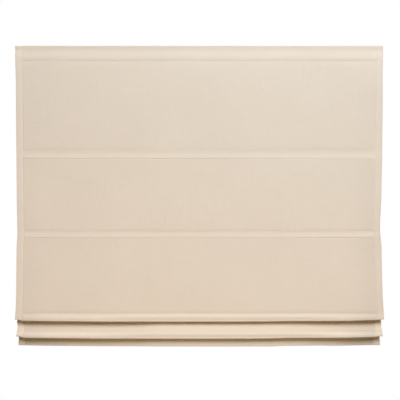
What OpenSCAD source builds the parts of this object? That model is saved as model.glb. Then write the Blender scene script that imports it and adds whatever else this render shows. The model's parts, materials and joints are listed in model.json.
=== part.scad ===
// Roman blind, partly raised, on a head rail with a spring lift.
// Millimetres. X runs along the rail, the cloth's face looks to -Y, Z is up.
// The origin is the middle of the four wall screw holes, on the wall's face.

/* [Cloth] */
// Finished width of the cloth
blind_w = 1200; // [800:10:1800]
// Top edge of the cloth to the seam of the first rod pocket
head_drop = 340; // [220:1:460]
// Pocket seam to pocket seam, measured along the cloth
pocket_pitch = 264; // [220:1:330]
// Upper seam of a rod pocket to the edge under its rod
pocket_h = 25; // [18:0.5:36]
// Swell of the cloth over a pocket
pocket_puff = 1; // [0.2:0.1:2]
// Thickness of a pocket's strip
pocket_t = 0.5; // [0.3:0.05:0.8]
// Strip above its upper seam
pocket_lap = 3; // [1.5:0.5:6]
// Pocket strips stop short of the side hems by this much
pocket_inset = 1; // [0.5:0.25:2]
// How much higher a lower edge lies at the side hems, where no rod lies in it
edge_lift = 6; // [2:0.5:9]
// How far the upper hidden fold rises above the pocket seam in front of it
fold_rise = 77; // [50:1:90]
// Height by which each hidden fold lies under the one in front of it
crest_step = 7.5; // [6:0.1:10]
// Lowest hidden fold down to the bottom edge
skirt_drop = 188; // [170:1:280]
// Front to back distance from the first lower edge to the second
tier_gap = 16.5; // [14:0.5:24]
// Front to back distance from the second lower edge to the bottom hem
hem_gap = 21.5; // [16:0.5:26]
// How far the front edge hangs forward of the head
front_lean = 6; // [4:0.25:8]
// Top edge to the stitch line under the head
head_band = 47; // [42:0.5:60]
// Bulge of the cloth over the head
head_puff = 2.2; // [0.5:0.1:4]
// Width of each side hem
side_hem = 20; // [14:0.5:30]
// Height of the bottom hem
bottom_hem = 42; // [36:0.5:60]
// Thickness of the cloth
cloth_t = 0.8; // [0.6:0.05:1]
// Height of the cloth's top edge over the brackets
head_rise = 0.5; // [0.2:0.1:4]

/* [Rods and bar] */
// Radius of a fold rod
rod_r = 2; // [1.5:0.1:2.5]
// Wall of the cap on a rod's end
rod_cap_wall = 0.4; // [0.3:0.05:0.8]
// Length of the cap on a rod's end
rod_cap_l = 9; // [6:0.5:14]
// Play of the capped rod in its pocket
rod_play = 0.15; // [0.1:0.05:0.4]
// Height of the bottom bar
bar_h = 25; // [18:0.5:30]
// Thickness of the bottom bar
bar_t = 4; // [3:0.25:5]
// Play of the bar in the bottom hem
bar_play = 0.25; // [0.15:0.05:0.6]
// Wall of the cap on the bar's end
bar_cap_t = 1.5; // [1:0.25:3]
// Rods and bar stop short of the side hems by this much
rod_inset = 3.5; // [2.5:0.5:8]

/* [Head rail] */
// Depth of the rail, front to back
rail_d = 38; // [37:0.5:44]
// Height of the rail
rail_h = 42; // [41:0.5:48]
// Wall of the rail
rail_wall = 1.6; // [1.2:0.1:1.8]
// Cloth edge to the end of the rail with its cap
rail_inset = 2; // [1:0.5:10]
// Width of the bracket slot in the top
slot_w = 20; // [18.5:0.5:22]
// Height of the bracket slot's chamber
slot_h = 7; // [6.8:0.1:8]
// Lips along the open underside
rail_lip = 3; // [2:0.25:4]
// Wall to the back of the rail
wall_gap = 14; // [12:0.5:24]
// Flange of an end cap
cap_t = 2.5; // [2:0.25:4]
// Depth of an end cap's plug
plug_l = 14; // [11:0.5:20]

/* [Fastening tape] */
// Width of the hook and loop tape
tape_w = 25; // [20:1:30]
// Thickness of each tape
tape_t = 1.4; // [1:0.1:1.8]

/* [Lift gear] */
// Side of the square shaft
shaft_a = 6; // [5:0.25:6.5]
// Radius of a drum's barrel
drum_r = 9.9; // [9:0.1:10.5]
// Length of a drum's barrel
drum_l = 36; // [32:1:50]
// How far a drum's flanges stand over its barrel
flange_rise = 2.9; // [2:0.1:3.2]
// Thickness of a drum's flanges
flange_t = 1.6; // [1.2:0.1:2.5]
// Length of the cone at a drum's feeding end
cone_l = 5; // [3:0.5:8]
// Radius of the drum's bearing journals
journal_r = 6; // [5.5:0.1:7]
// Length of a journal
journal_l = 4; // [3.5:0.25:6]
// Side walls of a cradle
cradle_t = 2.5; // [2:0.25:3.25]
// Floor of a cradle
floor_t = 1.5; // [1.2:0.1:1.6]
// Radius of the cord that the drums and rings are made for
cord_r = 0.7; // [0.5:0.05:0.8]
// Side of the cloth to the outer drums and ring columns
column_inset = 130; // [90:5:200]
// Line down through the rings, behind the cloth of the head
cord_back = 9; // [8.6:0.1:9.4]
// Radial play of everything that turns in a bore
run_play = 0.06; // [0.03:0.01:0.1]
// Play of sliding or loose fits
loose = 0.2; // [0.15:0.05:0.3]

/* [Spring motor] */
// Place of the motor, as a share of the way from the middle drum to the right one
motor_share = 0.45; // [0.4:0.01:0.6]
// Length of the motor's case
motor_l = 44; // [36:1:60]
// Radius of the spring's chamber
spring_r = 12.6; // [12:0.1:13]
// Turns of the clock spring
spring_turns = 7; // [4:1:8]
// Thickness of the spring strip
spring_t = 0.3; // [0.2:0.05:0.35]
// Radius of the arbor
arbor_r = 5.6; // [5.2:0.1:6]
// Cover plate of the motor
cover_t = 2.5; // [2:0.25:3.5]
// Radius of a cover screw
motor_screw_r = 1.1; // [0.9:0.1:1.3]

/* [Rings] */
// Radius of a ring, to the middle of its wire
ring_r = 6; // [5.8:0.1:6.6]
// Radius of a ring's wire
ring_wire = 1.2; // [1:0.05:1.25]
// Upper hidden fold, clear of the line through the rings
fold_clear = 3.4; // [2.8:0.1:3.6]

/* [Wall brackets] */
// Side of the cloth to the middle of a bracket
bracket_inset = 200; // [100:5:300]
// Width of a bracket
bracket_w = 26; // [24:1:36]
// Height of a bracket's wall leg
bracket_h = 44; // [40:1:60]
// Thickness of the bracket steel
plate_t = 2; // [1.5:0.1:3]
// Radius of the bracket's bend, to the middle of the steel
bend_r = 3; // [2:0.25:5]
// Distance between a bracket's two screw holes
screw_pitch = 24; // [16:1:30]
// Radius of a screw hole
screw_r = 2.4; // [2:0.1:3]
// Length of the locking cam across the rail
cam_l = 28; // [25:0.5:29]
// Width of the locking cam
cam_w = 17; // [14:0.5:18]
// Thickness of the locking cam
cam_t = 3.6; // [3:0.1:4]
// Reach of the lever's arm from its rivet
lever_l = 24; // [19:0.5:26]
// Thickness of the lever
lever_t = 2.4; // [2:0.1:3]
// Radius of the rivet
rivet_r = 3; // [2.5:0.1:3.5]
// Gap above and below the turning lever
lever_gap = 0.3; // [0.2:0.05:0.4]

/* [Hidden] */
$fn = 48;

// Colours
cloth_col = [0.88, 0.82, 0.75];
white_col = [0.93, 0.93, 0.91];
steel_col = [0.72, 0.73, 0.75];
clear_col = [0.90, 0.91, 0.90];

// Rail, from the brackets down
leg_z = bracket_h / 2 - plate_t;
rail_top = leg_z - lever_t - 2 * lever_gap;
rail_bot = rail_top - rail_h;
rail_back = -wall_gap;
rail_front = -wall_gap - rail_d;
rail_l = blind_w - 2 * rail_inset - 2 * cap_t;
rail_mid = (rail_front + rail_back) / 2;
slot_top = rail_top - rail_wall;
slot_bot = slot_top - slot_h;
bay_top = slot_bot - rail_wall;
bay_bot = rail_bot + rail_wall;
bay_front = rail_front + rail_wall;
bay_back = rail_back - rail_wall;

// Cloth layers at the head, from the tape forward
ply = cloth_t + 0.1;
head_bend = 1.2;
tape_front = rail_front - 2 * tape_t;
inner_y = tape_front - cloth_t / 2;
face_y = inner_y - ply;
cloth_top = bracket_h / 2 + head_rise;
tape_z = rail_top - 3 - tape_w;

// Cord line and shaft
cord_y = face_y + cord_back;
shaft_y = cord_y + drum_r + 0.1 + cord_r;
shaft_z = (bay_top + bay_bot + floor_t) / 2;
column_x = blind_w / 2 - column_inset;
columns = [-column_x, 0, column_x];
motor_x = motor_share * column_x;
bracket_x = blind_w / 2 - bracket_inset;
flange_r = drum_r + flange_rise;

// Lower edges: the cloth turns under a pocket and its rod, and lies flat at the hems
seam_gap = 0.1;
rod_cap_r = rod_r + rod_cap_wall;
fold_r = rod_cap_r + rod_play + (pocket_t + seam_gap + cloth_t) / 2;
flat_r = 1.4 * cloth_t + 0.2;
seam3_y = face_y - front_lean;
hem_y = seam3_y + tier_gap + hem_gap;

// Hidden folds
crest_r = 2.5;
crest_a_y = cord_y - fold_clear - cloth_t / 2 - crest_r;
crest_b_y = cord_y + 1;
crest_a_z = seam_z(3) + fold_rise;
crest_b_z = crest_a_z - crest_step;
seam4_z = crest_a_z - (pocket_pitch - fold_rise - 2 * pocket_h);
bottom_z = crest_b_z - skirt_drop;

// Bottom hem
bar_bend = bar_t / 2 + bar_play + cloth_t / 2;
bar_y = hem_y + bar_bend;
bar_z = bottom_z + cloth_t / 2 + bar_bend;

// Rods and their pockets lie between the side hems
rod_l = blind_w - 2 * side_hem - 2 * rod_inset;
pocket_l = blind_w - 2 * side_hem - 2 * pocket_inset;

function seam_z(k) = k < 4 ? cloth_top - head_drop - (k - 1) * pocket_pitch : seam4_z;
function seam_y(k) = k < 4 ? face_y - front_lean * pow(k / 3, 3) : seam3_y + tier_gap;
function seam_at(k) = [seam_y(k), seam_z(k)];
function rod_y(k) = seam_y(k) + cloth_t / 2 + rod_play + rod_cap_r;
function rod_z(k) = seam_z(k) - pocket_h + fold_r + cloth_t / 2 + pocket_t + rod_play + rod_cap_r;

// Points along an arc, without its last one
function arc(c, r, a0, a1, n) = [for (i = [0 : n - 1])
    let (a = a0 + (a1 - a0) * i / n) c + r * [cos(a), sin(a)]];

// Points from a to b that leave and arrive upright, bowed in the middle, without the last one
function run(a, b, n, bow = 0) = [for (i = [0 : n - 1])
    let (u = i / n, e = u * u * (3 - 2 * u))
    [a[0] + (b[0] - a[0]) * e + bow * sin(180 * u), a[1] + (b[1] - a[1]) * u]];

// Middle of the turn under a lower edge, with its radius and its depth below the seam
function turn_at(k, r, h) = seam_at(k) + [r, r + cloth_t / 2 - h];

// Cloth down in front of a pocket, and round the turn under it
function lower_edge(k, r, h) = let (c = turn_at(k, r, h)) concat(
    run(seam_at(k), c - [r, 0], 8, -pocket_puff),
    arc(c, r, 180, 360, 12));

// Cloth over a pocket of the flat part, down to the pocket's lower seam
function below(k) = seam_at(k) - [0, pocket_h];
function over_pocket(k) = run(seam_at(k), below(k), 8, -pocket_puff);

head_in = [inner_y, cloth_top - cloth_t / 2 - head_bend];
head_out = head_in - [2 * head_bend, 0];
head_end = [face_y, cloth_top - head_band];

// Cloth of the head: up behind, over the top, and down the front to the stitch line
head_run = concat(
    [[inner_y, cloth_top - head_band - 3]],
    arc(head_in - [head_bend, 0], head_bend, 0, 180, 8),
    [for (i = [0 : 11]) let (u = i / 12)
        head_out + (head_end - head_out) * u - [head_puff * sin(180 * u), 0]]);

// Runs of the cloth between the pockets, from the head down to the bottom hem
crest_a = [crest_a_y, crest_a_z - crest_r];
crest_b = [crest_b_y, crest_b_z - crest_r];
hem_in = [hem_y, bottom_z + bottom_hem];

// The second tier hangs back behind the first edge and comes forward to its pocket,
// and the layer behind it lies half way to the skirt
set_back = 4;
tier_mid = [seam_y(4) + set_back, crest_a[1] + 0.6 * (seam_z(4) - crest_a[1])];
tier_end = seam_at(4) + [0, pocket_lap + 1];
skirt_y = (crest_b_y + crest_r + hem_y) / 2;
function layer_bow(r) = (tier_mid[0] + skirt_y - seam_y(4) - 2 * r - crest_b_y + crest_r) / 2;

function runs(r, h) = [
    run(head_end, seam_at(1), 10),
    run(below(1), seam_at(2), 10),
    run(below(2), seam_at(3), 12),
    run(turn_at(3, r, h) + [r, 0], crest_a - [crest_r, 0], 10),
    concat(run(crest_a + [crest_r, 0], tier_mid, 7), run(tier_mid, tier_end, 6), [tier_end]),
    run(turn_at(4, r, h) + [r, 0], crest_b - [crest_r, 0], 12, layer_bow(r)),
    run(crest_b + [crest_r, 0], hem_in, 12)
];

// Bottom hem: down the front, round the bar, and up behind to its stitch line
hem_run = concat(
    [hem_in],
    arc([bar_y, bar_z], bar_bend, 180, 360, 12),
    run([bar_y + bar_bend, bar_z + bar_h - bar_t], hem_in + [ply, -2], 8),
    [hem_in + [ply, -2]]);

// The whole cloth as one line, head to bottom
function cloth_line(r, h) = let (p = runs(r, h)) concat(
    head_run,
    p[0], over_pocket(1), p[1], over_pocket(2), p[2], lower_edge(3, r, h),
    p[3], arc(crest_a, crest_r, 180, 0, 10), p[4], lower_edge(4, r, h),
    p[5], arc(crest_b, crest_r, 180, 0, 10), p[6], hem_run);

// Sideways direction of a line at its i-th point
function side_at(p, i) = let (
    d = p[min(i + 1, len(p) - 1)] - p[max(i - 1, 0)], u = d / norm(d)) [-u[1], u[0]];

// Outline of a strip that runs from a to b beside a line
function strip(p, a, b) = concat(
    [for (i = [0 : len(p) - 1]) p[i] + side_at(p, i) * b],
    [for (i = [len(p) - 1 : -1 : 0]) p[i] + side_at(p, i) * a]);

// Line of a pocket's strip: down from its upper seam, round behind the rod, and in under it
function pocket_line(k) = let (
    back = seam_y(k) + cloth_t / 2, c = [rod_y(k), rod_z(k)],
    r = rod_cap_r + rod_play + pocket_t / 2,
    top = [back + seam_gap + pocket_t / 2, seam_z(k)]) concat(
    [top + [0, pocket_lap]],
    run(top, c + [r, 0], 8),
    arc(c, r, 0, -90, 8),
    [c - [0, r], [back + seam_gap, c[1] - r]]);

// Heights of the ring rows on the flat cloth, and the cloth's place there
ring_rows = [for (k = [0 : 2]) seam_z(k) - 2 * pocket_h - fold_rise];
function panel_y(k) = let (
    a = k == 0 ? head_end : below(k), b = seam_at(k + 1),
    u = (a[1] - ring_rows[k]) / (a[1] - b[1]))
    a[0] + (b[0] - a[0]) * u * u * (3 - 2 * u);

module along_x(x0, l) {
    translate([x0, 0, 0]) rotate([90, 0, 90]) linear_extrude(l) children();
}

module rod_x(x0, l, y, z, r) {
    translate([x0, y, z]) rotate([0, 90, 0]) cylinder(h = l, r = r);
}

module square_x(x0, l, a) {
    translate([x0, shaft_y - a / 2, shaft_z - a / 2]) cube([l, a, a]);
}

module box(low, high) {
    translate(low) cube(high - low);
}

// The cloth between the side hems
module cloth_middle() {
    along_x(-blind_w / 2 + side_hem - 1, blind_w - 2 * side_hem + 2)
        polygon(strip(cloth_line(fold_r, pocket_h), -cloth_t / 2, cloth_t / 2));
}

// A side hem: two plies on the runs, and flat lower edges
module cloth_edge(x0) {
    along_x(x0, side_hem) {
        polygon(strip(cloth_line(flat_r, pocket_h - edge_lift), -cloth_t / 2, cloth_t / 2));
        for (p = runs(flat_r, pocket_h - edge_lift)) polygon(strip(p, 0, cloth_t * 1.4));
    }
}

module fabric_panel() {
    color(cloth_col) {
        cloth_middle();
        cloth_edge(-blind_w / 2);
        cloth_edge(blind_w / 2 - side_hem);
    }
}

// A strip sewn to the back of the cloth, with the rod behind the cloth in it
module rod_pocket(k) {
    color(cloth_col)
        along_x(-pocket_l / 2, pocket_l) polygon(strip(pocket_line(k), -pocket_t / 2, pocket_t / 2));
}

module fold_rod(k) {
    color(clear_col)
        rod_x(-rod_l / 2, rod_l, rod_y(k), rod_z(k), rod_r);
}

module rod_cap(k, s) {
    translate([s * (rod_l / 2 + 1.5), rod_y(k), rod_z(k)])
        rotate([0, -90 * s, 0])
        difference() {
            cylinder(h = rod_cap_l, r = rod_cap_r);
            translate([0, 0, 1.5]) cylinder(h = rod_cap_l, r = rod_r);
        }
}

module rod_end_caps() {
    color(clear_col)
        for (k = [1 : 4], s = [-1, 1]) rod_cap(k, s);
}

// Section of the bottom bar: a flat with rounded edges
module bar_shape(play) {
    h = bar_h - bar_t;
    translate([bar_y, bar_z]) circle(r = bar_t / 2 + play);
    translate([bar_y, bar_z + h]) circle(r = bar_t / 2 + play);
    translate([bar_y - bar_t / 2 - play, bar_z]) square([bar_t + 2 * play, h]);
}

module bottom_bar() {
    color(white_col)
        along_x(-rod_l / 2, rod_l) bar_shape(0);
}

module bottom_bar_caps() {
    color(clear_col)
        for (s = [0, 1])
            along_x(s == 0 ? -rod_l / 2 - bar_cap_t - 0.05 : rod_l / 2 + 0.05, bar_cap_t) bar_shape(0);
}

// Section of the rail: bracket slot on top, open bay with lips below
module rail_shape() {
    difference() {
        translate([rail_front, rail_bot]) square([rail_d, rail_h]);
        translate([bay_front, bay_bot]) square([rail_d - 2 * rail_wall, bay_top - bay_bot]);
        translate([bay_front, slot_bot]) square([rail_d - 2 * rail_wall, slot_h]);
        translate([rail_mid - slot_w / 2, slot_top - 1]) square([slot_w, rail_wall + 2]);
        translate([bay_front + rail_lip, rail_bot - 1])
            square([rail_d - 2 * rail_wall - 2 * rail_lip, rail_wall + 2]);
    }
}

module headrail() {
    color(white_col)
        difference() {
            along_x(-rail_l / 2, rail_l) rail_shape();
            for (x = columns) translate([x, cord_y, rail_bot - 1]) cylinder(h = rail_wall + 2, r = 2.4);
        }
}

// A rail end: flange outside, plug in the bay with a bearing for the shaft's bush
module end_cap(s) {
    color(white_col)
        difference() {
            union() {
                along_x(s > 0 ? rail_l / 2 : -rail_l / 2 - cap_t, cap_t)
                    translate([rail_front, rail_bot]) square([rail_d, rail_h]);
                along_x(s > 0 ? rail_l / 2 - plug_l : -rail_l / 2, plug_l)
                    translate([bay_front + loose, bay_bot + loose])
                    square([rail_d - 2 * rail_wall - 2 * loose, bay_top - bay_bot - 2 * loose]);
            }
            rod_x(s > 0 ? rail_l / 2 - plug_l - 1 : -rail_l / 2, plug_l + 1, shaft_y, shaft_z,
                journal_r + run_play);
        }
}

module end_cap_left() {
    end_cap(-1);
}

module end_cap_right() {
    end_cap(1);
}

module hook_strip() {
    color(white_col)
        box([-rail_l / 2, rail_front - tape_t, tape_z], [rail_l / 2, rail_front, tape_z + tape_w]);
}

module loop_strip() {
    color(white_col)
        box([-rail_l / 2, tape_front, tape_z], [rail_l / 2, rail_front - tape_t, tape_z + tape_w]);
}

// Line of a bracket's steel: up the wall, round the bend, out over the rail
bracket_line = let (m = plate_t / 2, c = [-m - bend_r, bracket_h / 2 - m - bend_r]) concat(
    [[-m, -bracket_h / 2]],
    arc(c, bend_r, 0, 90, 8),
    [c + [0, bend_r], [rail_mid, bracket_h / 2 - m]]);

// A bent bracket: wall leg with two screw holes, top leg with the rivet's hole
module wall_bracket(x) {
    color(steel_col)
        translate([x, 0, 0])
        difference() {
            union() {
                along_x(-bracket_w / 2, bracket_w) polygon(strip(bracket_line, -plate_t / 2, plate_t / 2));
                translate([0, rail_mid, leg_z]) cylinder(h = plate_t, r = bracket_w / 2);
                for (s = [-1, 1]) corner_rib(s * (bracket_w / 2 - 1.5));
            }
            for (s = [-1, 1])
                translate([0, 1, s * screw_pitch / 2]) rotate([90, 0, 0])
                    cylinder(h = plate_t + 2, r = screw_r);
            translate([0, rail_mid, leg_z - 1]) cylinder(h = plate_t + 2, r = rivet_r);
        }
}

// Stiffening rib in a bracket's corner
module corner_rib(x) {
    reach = plate_t + bend_r + 4;
    along_x(x - 0.75, 1.5)
        polygon([[-plate_t / 2, leg_z - 6], [-plate_t, leg_z - 6], [-reach, leg_z],
            [-reach, leg_z + plate_t / 2], [-plate_t / 2 - bend_r, leg_z + plate_t / 2],
            [-plate_t / 2, leg_z - bend_r]]);
}

module wall_bracket_left() {
    wall_bracket(-bracket_x);
}

module wall_bracket_right() {
    wall_bracket(bracket_x);
}

// Lever over the rail, neck in the slot, cam under the rail's top edges
module cam_lever(x) {
    lever_z = rail_top + lever_gap;
    cam_z = slot_top - lever_gap - cam_t;
    color(white_col)
        translate([x, rail_mid, 0])
        difference() {
            union() {
                translate([0, 0, lever_z]) cylinder(h = lever_t, r = slot_w / 2 + 2);
                box([0, -5, lever_z], [lever_l - 5, 5, lever_z + lever_t]);
                translate([lever_l - 5, 0, lever_z]) cylinder(h = lever_t, r = 5);
                translate([0, 0, cam_z]) cylinder(h = lever_z - cam_z + 0.5, r = slot_w / 2 - 1);
                intersection() {
                    translate([0, 0, cam_z]) cylinder(h = cam_t, r = cam_l / 2);
                    box([-cam_w / 2, -cam_l, cam_z], [cam_w / 2, cam_l, cam_z + cam_t]);
                }
            }
            translate([0, 0, cam_z - 1])
                cylinder(h = lever_z - cam_z + lever_t + 2, r = rivet_r + run_play);
        }
}

module cam_lever_left() {
    cam_lever(-bracket_x);
}

module cam_lever_right() {
    cam_lever(bracket_x);
}

module bracket_rivets() {
    foot_z = slot_top - cam_t - 2 * lever_gap - 1.2;
    color(steel_col)
        for (s = [-1, 1])
            translate([s * bracket_x, rail_mid, 0]) {
                translate([0, 0, foot_z]) cylinder(h = 1.2, r = rivet_r + 2.2);
                translate([0, 0, foot_z]) cylinder(h = bracket_h / 2 - foot_z, r = rivet_r);
                translate([0, 0, bracket_h / 2]) cylinder(h = 1, r = rivet_r + 2.2);
            }
}

module lift_shaft() {
    color(steel_col)
        square_x(-rail_l / 2 + 2, rail_l - 4, shaft_a);
}

// Round bushes on the shaft's ends, in the end caps
module shaft_bushes() {
    color(clear_col)
        for (s = [-1, 1])
            difference() {
                union() {
                    rod_x(s > 0 ? rail_l / 2 - plug_l - 2 : -rail_l / 2 + 3, plug_l - 1, shaft_y, shaft_z,
                        journal_r);
                    rod_x(s > 0 ? rail_l / 2 - plug_l - 2.3 : -rail_l / 2 + plug_l + 0.3, 2, shaft_y,
                        shaft_z, journal_r + 2);
                }
                square_x(s > 0 ? rail_l / 2 - plug_l - 4 : -rail_l / 2 + 1, plug_l + 3, shaft_a + loose);
            }
}

// A drum: barrel, two flanges, a bearing journal at each end, square bore
module cord_drum(x) {
    l = drum_l + 2 * flange_t;
    color(clear_col)
        difference() {
            union() {
                rod_x(x - l / 2, l, shaft_y, shaft_z, drum_r);
                rod_x(x - l / 2, flange_t, shaft_y, shaft_z, flange_r);
                rod_x(x + l / 2 - flange_t, flange_t, shaft_y, shaft_z, flange_r);
                translate([x - l / 2 + flange_t, shaft_y, shaft_z]) rotate([0, 90, 0])
                    cylinder(h = cone_l, r1 = flange_r - 0.6, r2 = drum_r);
                rod_x(x - l / 2 - journal_l, l + 2 * journal_l, shaft_y, shaft_z, journal_r);
            }
            square_x(x - l / 2 - journal_l - 1, l + 2 * journal_l + 2, shaft_a + loose);
        }
}

module cord_drum_left() {
    cord_drum(columns[0]);
}

module cord_drum_centre() {
    cord_drum(columns[1]);
}

module cord_drum_right() {
    cord_drum(columns[2]);
}

// A cradle: floor on the rail's lips, a bearing wall at each end of the drum, an eye for the cord
module drum_cradle(x) {
    half = drum_l / 2 + flange_t + 0.4;
    low = bay_bot;
    color(white_col)
        difference() {
            union() {
                box([x - half - cradle_t, bay_front + loose, low],
                    [x + half + cradle_t, bay_back - loose, low + floor_t]);
                for (s = [-1, 1])
                    box([x + s * (half + cradle_t / 2) - cradle_t / 2, shaft_y - journal_r - 4, low],
                        [x + s * (half + cradle_t / 2) + cradle_t / 2, shaft_y + journal_r + 4,
                            shaft_z + journal_r + 4]);
            }
            rod_x(x - half - cradle_t - 1, 2 * (half + cradle_t + 1), shaft_y, shaft_z,
                journal_r + run_play);
            translate([x, cord_y, low - 1]) cylinder(h = floor_t + 2, r = cord_r + 0.5);
        }
}

module drum_cradle_left() {
    drum_cradle(columns[0]);
}

module drum_cradle_centre() {
    drum_cradle(columns[1]);
}

module drum_cradle_right() {
    drum_cradle(columns[2]);
}

// Places of the four cover screws, round the spring's chamber
screw_y = [bay_front + loose + 2.6, bay_back - loose - 2.6];
screw_z = [bay_bot + loose + 2.6, bay_top - loose - 2.6];

module motor_block(x0, l) {
    box([x0, bay_front + loose, bay_bot], [x0 + l, bay_back - loose, bay_top - loose]);
}

module motor_case() {
    x0 = motor_x - motor_l / 2;
    color(steel_col)
        difference() {
            motor_block(x0, motor_l);
            rod_x(x0 - 1, motor_l - 2, shaft_y, shaft_z, spring_r + 0.3);
            rod_x(x0 - 1, motor_l + 2, shaft_y, shaft_z, arbor_r + run_play);
            for (y = screw_y, z = screw_z) rod_x(x0 - 1, 9, y, z, motor_screw_r);
        }
}

module motor_cover() {
    x0 = motor_x - motor_l / 2 - cover_t;
    color(steel_col)
        difference() {
            motor_block(x0, cover_t);
            rod_x(x0 - 1, cover_t + 2, shaft_y, shaft_z, arbor_r + run_play);
            for (y = screw_y, z = screw_z) rod_x(x0 - 1, cover_t + 2, y, z, motor_screw_r);
        }
}

module motor_screws() {
    x0 = motor_x - motor_l / 2 - cover_t;
    color(steel_col)
        for (y = screw_y, z = screw_z) {
            rod_x(x0 - 1.2, cover_t + 8, y, z, motor_screw_r);
            rod_x(x0 - 1.2, 1.2, y, z, 2 * motor_screw_r);
        }
}

// Flat spiral strip between the arbor and the wall of the chamber
module lift_spring() {
    x0 = motor_x - motor_l / 2 + 1;
    r0 = arbor_r + 0.6;
    r1 = spring_r - spring_t / 2;
    n = spring_turns * 18;
    line = [for (i = [0 : n]) let (a = 20 * i, r = r0 + (r1 - r0) * i / n)
        [shaft_y + r * cos(a), shaft_z + r * sin(a)]];
    color(steel_col)
        along_x(x0, motor_l - 5) polygon(strip(line, -spring_t / 2, spring_t / 2));
}

module spring_arbor() {
    x0 = motor_x - motor_l / 2 - cover_t - 2;
    l = motor_l + cover_t + 4;
    color(clear_col)
        difference() {
            rod_x(x0, l, shaft_y, shaft_z, arbor_r);
            square_x(x0 - 1, l + 2, shaft_a + loose);
        }
}

module ring(x, y, z) {
    translate([x, y, z]) rotate_extrude() translate([ring_r, 0]) circle(r = ring_wire);
}

// Rings of one column: three on the flat cloth, one on each hidden fold
module cord_rings(x) {
    seat = cloth_t / 2 + ring_wire;
    color(clear_col) {
        for (k = [0 : 2]) ring(x, panel_y(k) + seat + 0.15 + ring_r, ring_rows[k]);
        ring(x, crest_a_y + ring_r, crest_a_z + seat + 0.05);
        ring(x, crest_b_y + ring_r, crest_b_z + seat + 0.05);
    }
}

module cord_rings_left() {
    cord_rings(columns[0]);
}

module cord_rings_centre() {
    cord_rings(columns[1]);
}

module cord_rings_right() {
    cord_rings(columns[2]);
}

fabric_panel();
rod_pocket(1);  // rod_pocket_1
rod_pocket(2);  // rod_pocket_2
rod_pocket(3);  // rod_pocket_3
rod_pocket(4);  // rod_pocket_4
fold_rod(1);  // fold_rod_1
fold_rod(2);  // fold_rod_2
fold_rod(3);  // fold_rod_3
fold_rod(4);  // fold_rod_4
rod_end_caps();
bottom_bar();
bottom_bar_caps();
headrail();
end_cap_left();
end_cap_right();
hook_strip();
loop_strip();
wall_bracket_left();
wall_bracket_right();
cam_lever_left();
cam_lever_right();
bracket_rivets();
lift_shaft();
shaft_bushes();
cord_drum_left();
cord_drum_centre();
cord_drum_right();
drum_cradle_left();
drum_cradle_centre();
drum_cradle_right();
motor_case();
motor_cover();
motor_screws();
lift_spring();
spring_arbor();
cord_rings_left();
cord_rings_centre();
cord_rings_right();
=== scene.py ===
import json
import math

import bpy
import numpy as np
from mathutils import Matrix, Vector

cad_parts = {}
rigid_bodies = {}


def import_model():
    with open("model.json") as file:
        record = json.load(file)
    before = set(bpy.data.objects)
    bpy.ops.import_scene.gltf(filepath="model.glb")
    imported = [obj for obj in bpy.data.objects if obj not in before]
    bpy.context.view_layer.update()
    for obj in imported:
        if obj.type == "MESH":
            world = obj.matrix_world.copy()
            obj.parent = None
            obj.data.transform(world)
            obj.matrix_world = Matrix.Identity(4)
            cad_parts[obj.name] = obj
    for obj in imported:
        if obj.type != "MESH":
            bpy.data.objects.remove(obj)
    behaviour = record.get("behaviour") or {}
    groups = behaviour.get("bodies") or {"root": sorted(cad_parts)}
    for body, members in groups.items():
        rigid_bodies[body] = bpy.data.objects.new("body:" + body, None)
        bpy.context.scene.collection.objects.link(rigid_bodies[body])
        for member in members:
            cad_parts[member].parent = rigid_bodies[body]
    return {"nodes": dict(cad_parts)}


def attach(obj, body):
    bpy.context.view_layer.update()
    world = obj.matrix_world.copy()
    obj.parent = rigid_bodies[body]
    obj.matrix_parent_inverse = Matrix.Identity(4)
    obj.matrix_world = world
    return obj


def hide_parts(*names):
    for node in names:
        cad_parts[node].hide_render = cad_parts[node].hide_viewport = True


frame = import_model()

for name in ("Cube", "Light", "Camera"):
    if name in bpy.data.objects:
        bpy.data.objects.remove(bpy.data.objects[name])
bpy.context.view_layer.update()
nodes = frame["nodes"]
MM = 0.001

# Sizes of the drawn cloth, in mm: near those of its solid, and fitted to the photograph

HALF_W = 600.0             # half of the finished width
SIDE_HEM = 20.0
CLOTH_T = 0.8
PLY = 0.9                  # from the middle of one ply to the next
TOP = 22.5                 # top edge
HEAD_BAND = 50.8           # top edge to the stitch line under the head
HEAD_BEND = 1.2            # turn at the top edge
HEAD_LAP = 3.0             # turned-in ply past the stitch line, and its last point under the turn
SEAM_Z = {1: -320.5, 2: -584.0, 3: -848.0, 4: -909.0}
POCKET_H = {1: 25.5, 2: 20.0, 3: 26.8, 4: 24.2}     # seam to the pocket's lower end
INNER_Y = -55.2            # turned-in ply of the head
FACE_Y = INNER_Y - PLY
LEAN = 6.0                 # the front edge hangs forward by this much
TIER_GAP = 16.0            # first lower edge to the second, front to back
HEM_GAP = 38.0             # first lower edge to the bottom hem, front to back
SEAM_Y = {k: FACE_Y - LEAN * (k / 3) ** 3 for k in (1, 2, 3)}
SEAM_Y[4] = SEAM_Y[3] + TIER_GAP
FOLD_R = 3.45              # turn of the cloth under a pocket and its rod
FLAT_R = 1.9               # turn of the cloth under a side hem
EDGE_LIFT = 4.0            # how much higher a lower edge lies at the side hems
CREST_R = 2.5              # turn at the top of a hidden fold
CREST_A = (-53.4, -768.5 - CREST_R)
CREST_B = (-46.1, -776.0 - CREST_R)
SET_BACK = 5.0             # the second tier hangs back behind the first, then swings forward
SWING_AT = 0.6             # share of the tier's way down where it starts to swing
RISER_BOW = 6.5            # bow of the hidden run behind the second tier
BOTTOM = -964.0
HEM_Y = SEAM_Y[3] + HEM_GAP
HEM_H = 42.0
BAR_BEND = 2.65            # turn of the bottom hem under its bar
BAR_Z = BOTTOM + CLOTH_T / 2 + BAR_BEND
BAR_H = 21.0               # above its turn, the hem's back ply is upright up to here
HEM_END = 2.0              # the hem's plies end this far from the turn or the stitch line
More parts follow.
